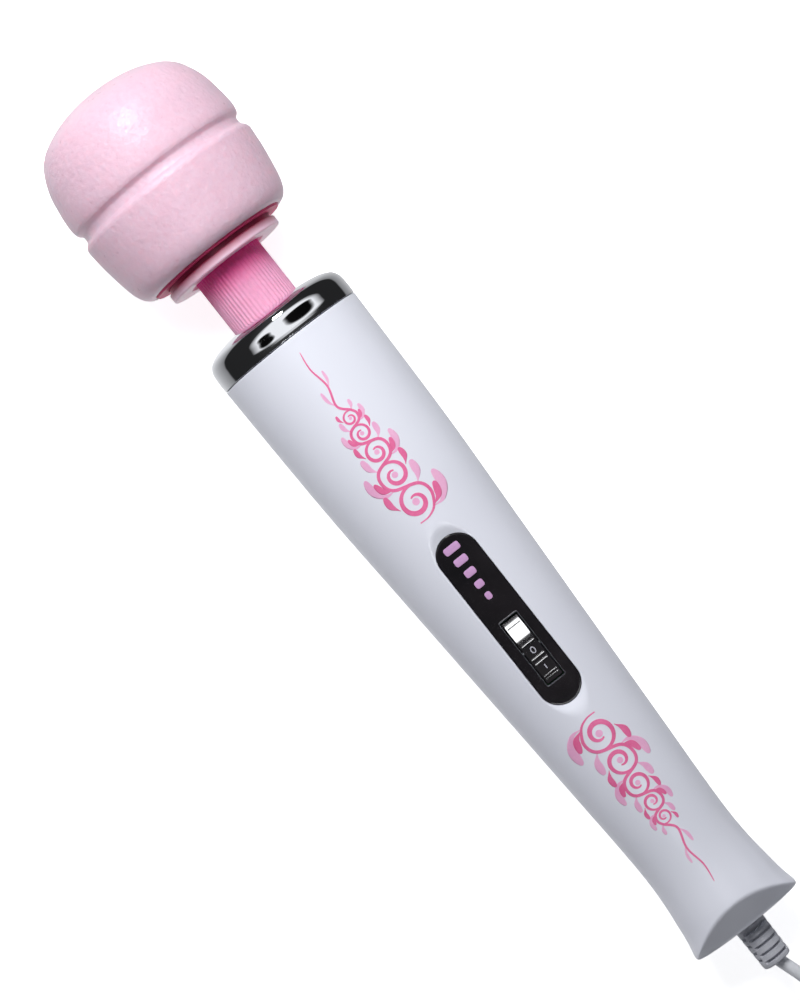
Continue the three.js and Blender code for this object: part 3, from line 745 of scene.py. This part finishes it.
def half_shell(name, front, columns, stations, replaces):
    """One half of the handle: outer skin, inner skin and the edges between them."""
    gap = math.radians(SHELL_SPLIT)
    middle = 0.0 if front else math.pi
    angle = np.linspace(-math.pi / 2 + gap, math.pi / 2 - gap, columns) + middle
    hole = CORD_HOLE
    outer, inner = [], []

    def row(x, radius, x_in, radius_in):
        ones = np.ones_like(angle)
        outer.append((x * ones, radius * ones))
        inner.append((x_in * ones, radius_in * ones))

    edge = shell_radius(0.6, angle)
    thin = edge - WALL - 0.4
    row(0.35, hole, END_WALL, hole)
    row(0.1, hole + 0.1, END_WALL, hole + 0.2)
    row(0.0, hole + 0.35, END_WALL, hole + 0.5)
    for share in (0.25, 0.5, 0.75):
        row(0.0, hole + (edge - hole) * share, END_WALL, hole + (thin - hole) * share)
    row(0.0, edge - 0.75, END_WALL, thin - 0.3)
    row(0.07, edge - 0.42, END_WALL, thin - 0.2)
    row(0.25, edge - 0.15, END_WALL, thin - 0.1)
    for x in stations:
        share = (x - stations[0]) / (SHOULDER_X - stations[0])
        x_in = END_WALL + (SHOULDER_X - END_WALL) * share
        row(x, shell_radius(x, angle), x_in, shell_radius(x_in, angle) - WALL)
    top = float(handle_radius(SHOULDER_X))
    core = NOSE_RADIUS - WALL
    row(SHOULDER_X - 0.04, top - 0.06, SHOULDER_X + 0.5, core)
    row(SHOULDER_X, top - 0.2, SHOULDER_X + 1.0, core)
    row(SHOULDER_X, NOSE_RADIUS + 0.1, SHOULDER_X + 2.0, core)
    row(SHOULDER_X + 0.1, NOSE_RADIUS, SHOULDER_X + 3.0, core)
    row(NOSE_X, NOSE_RADIUS, NOSE_X, core)

    def skin(rows, shape):
        x = np.array([r[0] for r in rows])
        radius = np.array([r[1] for r in rows])
        y, z = radius * np.sin(angle), radius * np.cos(angle)
        if front:
            z = np.where(x > 60, shape(x, y, z), z)
        return np.stack([x, y, z], -1)

    skins = [skin(outer, dished), skin(inner, seated)]
    count = len(outer)
    points = np.concatenate([s.reshape(-1, 3) for s in skins])
    faces = grid_faces(count, columns)
    base = count * columns
    faces += [[base + k for k in reversed(face)] for face in grid_faces(count, columns)]
    for column in (0, columns - 1):
        for k in range(count - 1):
            a, b = k * columns + column, (k + 1) * columns + column
            faces.append([a, b, base + b, base + a])
    for k in range(columns - 1):
        for start in (0, (count - 1) * columns):
            a, b = start + k, start + k + 1
            faces.append([a, b, base + b, base + a])
    return piece(name, world(points), faces, "handle", SHELL, replaces, 32)


def stations(*stretches):
    """Stations along the axis: (start, end, spacing) for each stretch."""
    made = [np.arange(start, end - 1e-6, step) for start, end, step in stretches]
    return [float(x) for x in np.concatenate([*made, [stretches[-1][1]]])]


SHOULDER_STATIONS = [226.0, 226.4, 226.55]
front_stations = stations((0.6, 20, 0.5), (20, 80, 2.0), (80, 160, 0.5), (160, 224, 3.0))
rear_stations = stations((0.6, 20, 0.5), (20, 224, 3.0))
front_shell = half_shell(
    "handle_front", True, 241, front_stations + SHOULDER_STATIONS, ["front_shell"]
)
rear_shell = half_shell(
    "handle_back", False, 121, rear_stations + SHOULDER_STATIONS, ["rear_shell"]
)

pocket = plate(stadium(PANEL_HALF_LENGTH + 0.14, PANEL_HALF_WIDTH + 0.14, 40), -2.3, 6, 0)
window = plate(
    oblong(ROCKER_OFFSET - 12.3, ROCKER_OFFSET + 12.3, 3.7, 0.6), -14, -1.5, 0
)
for points, faces in (pocket, window):
    combine(front_shell, on_panel(points), faces, "DIFFERENCE")
clean(front_shell.data, 32)

SCREWS = [(80, 11.5), (80, -11.5), (158, 13.2), (158, -13.2)]


def boss(x, y, sides=32):
    """A post inside the rear shell, with a flat floor for the screw's head."""
    rows = []
    for radius, depth in ((1.6, -8.0), (3.15, -8.0), (3.15, None), (4.3, None), (4.3, -0.4),
                          (1.6, -0.4)):
        px, py = ellipse(x, y, radius, radius, sides).T
        reach = -np.sqrt(handle_radius(px) ** 2 - py**2) + 1.1
        pz = reach if depth is None else np.full(sides, depth)
        rows.append(np.stack([px, py, pz], 1))
    return np.vstack(rows), grid_faces(len(rows), sides, True, True)


SCREW_BORE = 3.16
for x, y in SCREWS:
    combine(rear_shell, *boss(x, y), "UNION")
    bore = plate(ellipse(x, y, SCREW_BORE, SCREW_BORE, 48), -30, -8.02, 0)
    combine(rear_shell, *bore, "DIFFERENCE")
clean(rear_shell.data, 32)

# -------------------- collar, neck and head
collar_outline = np.vstack([
    rounded([(227.0, 23.2), (227.0, 25.1, 0.15), (228.0, 25.15)], 4, False),
    spline([(228.0, 25.15), (229.6, 25.2), (231.2, 25.15), (233.0, 25.02), (234.6, 24.6),
            (235.9, 23.75), (236.8, 22.5), (237.6, 20.6), (238.3, 17.6), (238.8, 13.6)], 6)[1:],
    rounded([(238.8, 13.6), (238.85, 12.15, 0.3), (236.8, 12.15, 0.2), (236.4, 16),
             (235.2, 20.6), (232.3, 23.2)], 4, False)[1:],
])
lathe("collar", collar_outline, 256, "handle", CHROME, ["collar_ring"], 50)

NECK_RADIUS = 11.83
NECK_BORE = 10.2
RIBS = 54


def ribbed(x, radius, angle):
    """Shallow rounded ribs along the neck, on its outer skin only."""
    wave = 0.5 + 0.5 * np.cos(angle * RIBS)
    return np.where(radius > NECK_BORE + 0.8, radius - 0.22 * (1 - wave), radius)


def neck_outline(start, end, foot=None):
    x = np.linspace(start, end, 13)
    outer = [(float(p), NECK_RADIUS) for p in x]
    inner = [(float(p), NECK_BORE) for p in x[::-1]]
    return (foot or []) + outer + inner


foot = [(233.2, 14.5), (235.1, 14.5), (235.3, 12.3)]
neck_lower = lathe(
    "neck_lower", neck_outline(235.6, 249.0, foot), RIBS * 12, None, NECK,
    ["neck_sleeve_lower"], 60, ribbed,
)
neck_upper = lathe(
    "neck_upper", neck_outline(249.0, 259.1), RIBS * 12, None, NECK,
    ["neck_sleeve_upper"], 60, ribbed,
)
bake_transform(neck_lower)
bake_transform(neck_upper)

flange_outline = rounded(
    [(259.3, 7.3), (259.3, 13.2), (258.1, 13.8, 0.3), (258.1, 20.35, 0.75), (261.05, 20.35, 0.5),
     (261.2, 19.35, 0.2), (268, 19.35), (268, 6.3), (264, 6.3), (264, 7.3)],
    6,
)
lathe("head_base", flange_outline, 192, "head", FLANGE, ["head_flange"], 40)

lower_band = spline(
    [(263.2, 24.2), (263.4, 25.3), (264.2, 26.6), (265.8, 27.9), (268.3, 28.95), (271.5, 29.7),
     (279, 30.9), (284, 31.4), (286.7, 31.6)],
    8,
)
groove = spline(
    [(286.7, 31.6), (287.6, 31.45), (288.4, 30.95), (289.1, 30.25), (289.9, 29.95),
     (290.9, 29.85), (291.7, 29.95), (292.4, 30.5), (293.1, 31.2), (294, 31.55)],
    6,
)
dome = spline(
    [(294, 31.55), (296, 31.75), (299, 31.6), (302, 31.25), (308.3, 30.1), (314.5, 27.4),
     (318.2, 24.2), (320.6, 20.2), (322.5, 15.6), (323.8, 10.4), (324.5, 5), (324.7, 0)],
    10,
)
inside = [
    (310.3, 0), (309.3, 12.3), (306.3, 20.3), (300.3, 23.7), (263.6, 23.7), (263.3, 23.8),
]
cushion_outline = np.vstack([inside, lower_band[:-1], groove[:-1], dome])
cushion_outline[-1, 1] = 0
cushion = lathe(
    "head_cover", cushion_outline, 256, "head", CUSHION, ["head_cushion"], 50
)

# -------------------- strain relief
SLOT_PITCH = 2.7
SLOT_TURN = math.radians(-14)


def slotted(x, radius, angle):
    """Staggered slots cut across the strain relief, two to a ring."""
    depth = np.zeros(np.broadcast(x, angle).shape)
    for k in range(9):
        at = -2.6 - SLOT_PITCH / 2 * k
        turn, half = (SLOT_TURN, 58) if k % 2 == 0 else (SLOT_TURN + math.pi / 2, 26)
        across = np.clip(1 - (np.abs(x - at) / 0.5) ** 6, 0, 1)
        swing = np.abs((angle - turn + np.pi / 2) % np.pi - np.pi / 2)
        around = np.clip((math.radians(half) - swing) / math.radians(5), 0, 1)
        depth = np.maximum(depth, across * around)
    on_outside = (radius > 3.2) & (x < -0.8) & (x > -15)
    return np.where(on_outside, radius - 1.5 * depth, radius)


relief_outline = np.vstack([
    [(-12.0, 2.06), (-15.3, 2.06)],
    rounded([(-15.3, 2.06), (-15.5, 2.2, 0.1), (-15.5, 4.75, 0.9), (-14.2, 4.95)], 5, False)[1:],
    np.stack([np.arange(-14.1, -0.9, 0.1), np.linspace(4.95, 5.14, 132)], 1),
    [(-0.3, 5.15), (-0.3, 4.65), (3.5, 4.65), (3.5, 7.2), (5.5, 7.2), (5.5, 2.06)],
])
lathe(
    "cord_relief", relief_outline, 144, "handle", RELIEF, ["strain_relief"], 45,
    slotted,
)

# -------------------- switch panel
panel_hole = oblong(ROCKER_OFFSET - 12.0, ROCKER_OFFSET + 12.0, 3.3, 0.5)
points, faces = plate(
    stadium(PANEL_HALF_LENGTH, PANEL_HALF_WIDTH, 40), -2, 0, 0.3, [panel_hole], 4, hold=0.12
)
piece(
    "control_panel", world(on_panel(points)), faces, "handle", BLACK,
    ["switch_panel"],
)
points, faces = plate(
    oblong(ROCKER_OFFSET - 12.25, ROCKER_OFFSET + 12.25, 3.55, 0.7),
    -0.3, 0.1, 0.07,
    [oblong(ROCKER_OFFSET - 11.95, ROCKER_OFFSET + 11.95, 3.25, 0.45)], 2,
)
piece("rocker_frame", world(on_panel(points)), faces, "handle", DARK_STEEL)


def rocker_top(u):
    """Height of the rocker's face over the panel: a shallow valley, steeper at its head end."""
    share = (u - ROCKER_OFFSET) / ROCKER_LENGTH
    return 0.1 + np.where(share > 0, 2.8, 1.2) * share**2


def make_rocker():
    half = ROCKER_LENGTH / 2
    top = [(u, rocker_top(u)) for u in np.linspace(half, -half, 25) + ROCKER_OFFSET]
    bottom = [(-half, -1), (-6, -1.6), (-3, -4.6), (3, -4.6), (6, -1.6), (half, -1)]
    side = top + [(u + ROCKER_OFFSET, w) for u, w in bottom]
    flat, faces = plate(side, -ROCKER_WIDTH / 2, ROCKER_WIDTH / 2, 0.22, (), 4, hold=0.1)
    blank = (np.stack([flat[:, 0], -flat[:, 2], flat[:, 1]], 1), faces)
    parts = [blank]
    for at, width, height in (
        (9.0, 0.4, 0.2), (2.2, 0.75, 0.42), (-2.8, 0.75, 0.42), (-4.5, 0.75, 0.42),
        (-8.9, 0.4, 0.26), (-9.9, 0.3, 0.2),
    ):
        u = at + ROCKER_OFFSET
        level = float(rocker_top(u))
        rib, rib_faces = plate(
            oblong(u - width / 2, u + width / 2, 2.45, width / 2.2),
            level - 0.5, level + height, 0.12, (), 3, 0,
        )
        rib[:, 2] += (rib[:, 0] - u) * RIB_TILT
        parts.append((rib, rib_faces))
    points, faces = joined(*parts)
    piece(
        "power_rocker", world(on_panel(points)), faces, "rocker", ROCKER_BLACK,
        ["switch_rocker"], 40,
    )
    ring, hole = (ellipse(ROCKER_OFFSET - 0.45, 0, half, half - 0.35, 32) for half in (1.15, 0.85))
    zero = plate(ring, 0, 0.05, 0.01, [hole], 1)
    line = plate(oblong(-7.5 + ROCKER_OFFSET, -5.9 + ROCKER_OFFSET, 0.16, 0.1), 0, 0.05, 0.01)
    points, faces = joined(zero, line)
    points[:, 2] += rocker_top(points[:, 0]) - 0.01
    piece("rocker_marks", world(on_panel(points)), faces, "rocker", PALE_MARK)


make_rocker()

bars = []
for k, half_width in enumerate((1.0, 1.45, 1.9, 2.3, 2.75)):
    u = 9.4 + 4.5 * k
    bar = oblong(u - 1.25, u + 1.25, half_width, 0.9, 6) + np.array([0, 0.35])
    bars.append(plate(bar, -0.1, 0.05, 0.03, (), 2, 0))
points, faces = joined(*bars)
piece("level_bars", world(on_panel(points)), faces, "handle", LILAC)

# -------------------- printed vines


def ribbon(line, widths, lift):
    """A printed stroke on the handle. line holds (x, side) points, widths its half widths."""
    line = np.asarray(line, float)
    step = np.gradient(line, axis=0)
    step /= np.maximum(np.linalg.norm(step, axis=1, keepdims=True), 1e-9)
    normal = np.stack([-step[:, 1], step[:, 0]], 1)
    shares = np.linspace(-1, 1, 7)
    flat = line[:, None, :] + normal[:, None, :] * (widths[:, None] * shares[None, :])[..., None]
    layers = []
    for height in (-0.12, lift):
        radius = handle_radius(flat[..., 0]) + height
        side = -flat[..., 1]
        up = np.sqrt(radius**2 - side**2)
        layers.append(np.stack([flat[..., 0], side, up], -1))
    rows, columns = flat.shape[:2]
    points = np.concatenate([layer.reshape(-1, 3) for layer in layers])
    base = rows * columns
    faces = grid_faces(rows, columns)
    faces += [[base + k for k in reversed(face)] for face in grid_faces(rows, columns)]
    rim = [k * columns for k in range(rows)]
    rim += [(rows - 1) * columns + k for k in range(1, columns)]
    rim += [k * columns + columns - 1 for k in range(rows - 2, -1, -1)]
    rim += [k for k in range(columns - 2, 0, -1)]
    for k, a in enumerate(rim):
        b = rim[(k + 1) % len(rim)]
        faces.append([a, b, base + b, base + a])
    return points, faces


def stroke(points, widest, start=0.12, end=0.12, peak=0.5, count=40):
    """A smooth stroke, half width start to widest (at share peak of its length) to end."""
    line = spline(points, 24)
    length = np.concatenate([[0], np.cumsum(np.linalg.norm(np.diff(line, axis=0), axis=1))])
    share = np.linspace(0, 1, count)
    line = np.stack([np.interp(share * length[-1], length, line[:, k]) for k in (0, 1)], 1)
    rise = np.clip(share / peak, 0, 1)
    fall = np.clip((1 - share) / (1 - peak), 0, 1)
    smooth_rise = rise * rise * (3 - 2 * rise)
    round_fall = np.sqrt(np.clip(1 - (1 - fall) ** 2, 0, 1))
    widths = np.where(
        share < peak,
        start + (widest - start) * smooth_rise,
        end + (widest - end) * round_fall,
    )
    return line, np.maximum(widths, 0.03)


def curl(centre, outer, inner, start_deg, turns, widest, end=0.15, count=64):
    """A spiral stroke winding inwards. Positive turns wind from +x towards the right side."""
    share = np.linspace(0, 1, count)
    angle = np.radians(start_deg) + 2 * np.pi * turns * share
    radius = outer + (inner - outer) * share**0.8
    line = np.stack(
        [centre[0] + radius * np.cos(angle), centre[1] + radius * np.sin(angle)], 1
    )
    widths = end + (widest - end) * np.sin(np.pi * np.clip(share * 0.85 + 0.08, 0, 1)) ** 1.2
    return line, widths


def dot(centre, radius):
    """A round spot, as a short stroke with a round outline."""
    turn = np.linspace(0, np.pi, 15)
    line = np.stack([centre[0] - radius * np.cos(turn), np.full(15, float(centre[1]))], 1)
    return line, np.maximum(radius * np.sin(turn), 0.02)


VINE_RADII = (5.7, 4.9, 4.1, 3.3, 2.6)  # of the curls, largest next to the panel


def scroll(name, x0, direction, side):
    """A plain running vine: a waved stem, a curl in each wave, leaves outside. Starts at x0."""
    stem = [(0.4, -3.0), (0.5, 0.4)]
    deep, light = [], []
    x, last = 0.9, 0.0
    for k, radius in enumerate(VINE_RADII):
        x += 0.97 * (last + radius)
        last = radius
        turn = 1 - 2 * (k % 2)
        near = np.array([radius, turn * radius])

        def leaf(points, width, peak):
            return stroke(np.array([x, 0]) + near * points, width * radius, 0.12, 0.1, peak)

        stem += [tuple(np.array([x, 0]) + near * point) for point in
                 ((-0.75, 0.62), (0, 1), (0.72, 0.7))]
        deep.append(curl((x, 0), radius, 0.3 * radius, 50 * turn, -1.2 * turn, 0.14 * radius))
        deep.append(leaf([(-0.72, 0.66), (-0.4, 1.2), (0.3, 1.42)], 0.2, 0.6))
        deep.append(leaf([(0.1, -0.94), (0.62, -1.22), (1.2, -1.2)], 0.19, 0.6))
        light.append(leaf([(-0.76, 0.6), (-0.72, 1.25), (0.0, 1.72), (0.85, 1.72)], 0.27, 0.62))
        light.append(leaf([(0.72, 0.7), (1.25, 1.05), (1.95, 1.12)], 0.22, 0.62))
        light.append(dot((x, 0), 0.2 * radius))
    stem += [(x + 5.4, -1.0), (x + 12, 0.6), (x + 19, -0.4), (x + 25, 0.3)]
    deep.append(stroke(stem, 0.52, 0.2, 0.08, 0.14, 180))
    light.append(stroke([(x + 5.4, -1.0), (x + 8, -2.2), (x + 11.4, -2.4)], 0.55, 0.1, 0.1, 0.6))
    light.append(stroke([(x + 11, 0.5), (x + 13.5, 1.8), (x + 16.6, 2.1)], 0.45, 0.1, 0.1, 0.6))
    for shade, material, strokes, lift in (
        ("deep", PINK_DARK, deep, 0.06),
        ("light", PINK_LIGHT, light, 0.04),
    ):
        parts = []
        for line, widths in strokes:
            placed = np.stack([x0 + direction * line[:, 0], side * line[:, 1]], 1)
            parts.append(ribbon(placed, widths, lift))
        points, faces = joined(*parts)
        piece(f"{name}_{shade}", world(points), faces, "handle", material, (), 80)


scroll("upper_scroll", 158.2, 1, 1)
scroll("lower_scroll", 81.6, -1, -1)

# -------------------- parts inside the wand
for part in frame["record"]["subparts"]:
    node_object, slot_name = frame["nodes"][part["node"]], part["material_slot"]
    if not node_object.hide_render:  # no piece above has taken its place
        node_object.data.materials.clear()
        node_object.data.materials.append(INSIDE[slot_name])
# the core's lower face shows in the gap under the cushion; its deep crimson is painted shade of
# that gap
frame["nodes"]["head_core"].data.materials[0] = plain(
    "core_pink", (236, 66, 130), (218, 54, 114), (0.4, 0.5), 900, 0.1
)

# -------------------- studio


def studio_floor():
    made = Nodes("floor", Roughness=0.7)
    made.color(made.noise(30, 4), [(0.3, linear(246, 246, 248)), (0.7, linear(250, 250, 252))])
    made.shader.inputs["Emission Color"].default_value = (1, 1, 1, 1)
    seen = made.node("ShaderNodeLightPath").outputs["Is Camera Ray"]
    made.link(made.remap(seen, 0, 1, 0.15, 0.78), "Emission Strength")
    mesh = bpy.data.meshes.new("floor")
    mesh.from_pydata([(-3, -3, 0), (3, -3, 0), (3, 3, 0), (-3, 3, 0)], [], [(0, 1, 2, 3)])
    mesh.materials.append(made.material)
    floor = bpy.data.objects.new("floor", mesh)
    scene.collection.objects.link(floor)
    floor.visible_glossy = False


def softbox(name, position, target, size, power):
    data = bpy.data.lights.new(name, "AREA")
    data.shape = "SQUARE"
    data.size = size
    data.energy = power
    light = bpy.data.objects.new(name, data)
    scene.collection.objects.link(light)
    light.location = position
    away = Vector(position) - Vector(target)
    light.rotation_euler = away.to_track_quat("Z", "Y").to_euler()
    light.visible_glossy = False
    return light


def studio_world():
    """Pale to the eye and softly lit. Gloss sees a studio laid out round the wand's axis:
    roll is the angle round it, 0 in front, and pitch the angle towards the head."""
    scene_world = bpy.data.worlds.new("studio")
    scene.world = scene_world
    scene_world.use_nodes = True
    tree = scene_world.node_tree
    nodes, links = tree.nodes, tree.links
    nodes.clear()

    def math_node(operation, *values, clamp=False):
        made = nodes.new("ShaderNodeMath")
        made.operation = operation
        made.use_clamp = clamp
        for index, value in enumerate(values):
            if isinstance(value, bpy.types.NodeSocket):
                links.new(value, made.inputs[index])
            else:
                made.inputs[index].default_value = value
        return made.outputs[0]

    direction = nodes.new("ShaderNodeTexCoord").outputs["Generated"]
    split = []
    for axis in BASIS:
        made = nodes.new("ShaderNodeVectorMath")
        made.operation = "DOT_PRODUCT"
        links.new(direction, made.inputs[0])
        made.inputs[1].default_value = axis.tolist()
        split.append(made.outputs["Value"])
    degrees = 180 / math.pi
    roll = math_node("MULTIPLY", math_node("ARCTAN2", split[1], split[2]), degrees)
    pitch = math_node("MULTIPLY", math_node("ARCSINE", split[0]), degrees)

    def patch(roll_middle, roll_half, pitch_middle, pitch_up, edge, pitch_down=None):
        """1 inside an ellipse of directions, 0 outside, with a soft edge."""
        a = math_node("DIVIDE", math_node("SUBTRACT", roll, roll_middle), roll_half)
        b = math_node("SUBTRACT", pitch, pitch_middle)
        b = math_node("MAXIMUM", math_node("DIVIDE", b, pitch_up),
                      math_node("DIVIDE", b, -(pitch_down or pitch_up)))
        squares = math_node("MULTIPLY_ADD", a, a, math_node("MULTIPLY", b, b))
        far = math_node("SQRT", squares)
        return math_node("MULTIPLY", math_node("SUBTRACT", 1 + edge / 2, far), 1 / edge, clamp=True)

    turn = math_node("ABSOLUTE", math_node("ADD", roll, 9.0))
    band = nodes.new("ShaderNodeValToRGB")
    links.new(math_node("DIVIDE", turn, 180.0), band.inputs["Fac"])
    ramp = band.color_ramp
    stops = [(0.0, 0.05), (0.22, 0.03), (0.33, 0.02), (0.645, 0.02), (0.67, 0.26), (0.75, 0.40),
             (0.86, 0.60), (1.0, 0.9)]
    while len(ramp.elements) < len(stops):
        ramp.elements.new(0.5)
    for element, (position, value) in zip(ramp.elements, stops):
        element.position = position
        element.color = (value, value, value, 1)
    glossy = band.outputs["Color"]
    bright = patch(-14, 60, 4, 30, 0.25, 5.5)
    dark = math_node("MAXIMUM", patch(25.4, 12.5, 6, 5, 0.4), patch(-37, 24, 10, 8, 0.35))
    bright = math_node("MULTIPLY", bright, math_node("SUBTRACT", 1.0, dark, clamp=True))
    lamp = math_node("MULTIPLY", patch(0, 12, -18.0, 3.5, 0.15), 8.0)
    glossy_value = math_node("ADD", glossy, bright)
    unshaded = math_node("MULTIPLY_ADD", dark, -0.9, 1.0)
    glossy_value = math_node("MULTIPLY_ADD", glossy_value, unshaded, lamp)

    def background(strength, color):
        made = nodes.new("ShaderNodeBackground")
        made.inputs["Color"].default_value = color
        if strength:
            links.new(strength, made.inputs["Strength"])
        return made.outputs[0]

    path = nodes.new("ShaderNodeLightPath")
    seen = background(None, (0.93, 0.93, 0.95, 1))
    ahead = math_node("MULTIPLY_ADD", split[0], 0.09, 0.19)
    behind = math_node("MULTIPLY_ADD", split[0], 0.17, 0.20)
    ambient = math_node("MAXIMUM", math_node("MINIMUM", ahead, behind), 0.0)
    soft = background(ambient, (0.92, 0.94, 1.0, 1))
    mirrored = background(glossy_value, (0.97, 0.98, 1.0, 1))
    for factor, second in ((path.outputs["Is Glossy Ray"], mirrored),
                           (path.outputs["Is Camera Ray"], seen)):
        made = nodes.new("ShaderNodeMixShader")
        links.new(factor, made.inputs[0])
        links.new(soft, made.inputs[1])
        links.new(second, made.inputs[2])
        soft = made.outputs[0]
    links.new(soft, nodes.new("ShaderNodeOutputWorld").inputs["Surface"])


studio_floor()
softbox("key", place(560, -70, 560), place(170, 0, 0), 0.34, 5.1)
glint = softbox("glint", place(650, -80, 430), place(300, 0, 0), 0.15, 1.5)
glint.visible_diffuse = False
glint.visible_glossy = True
studio_world()
scene.view_settings.view_transform = "Standard"
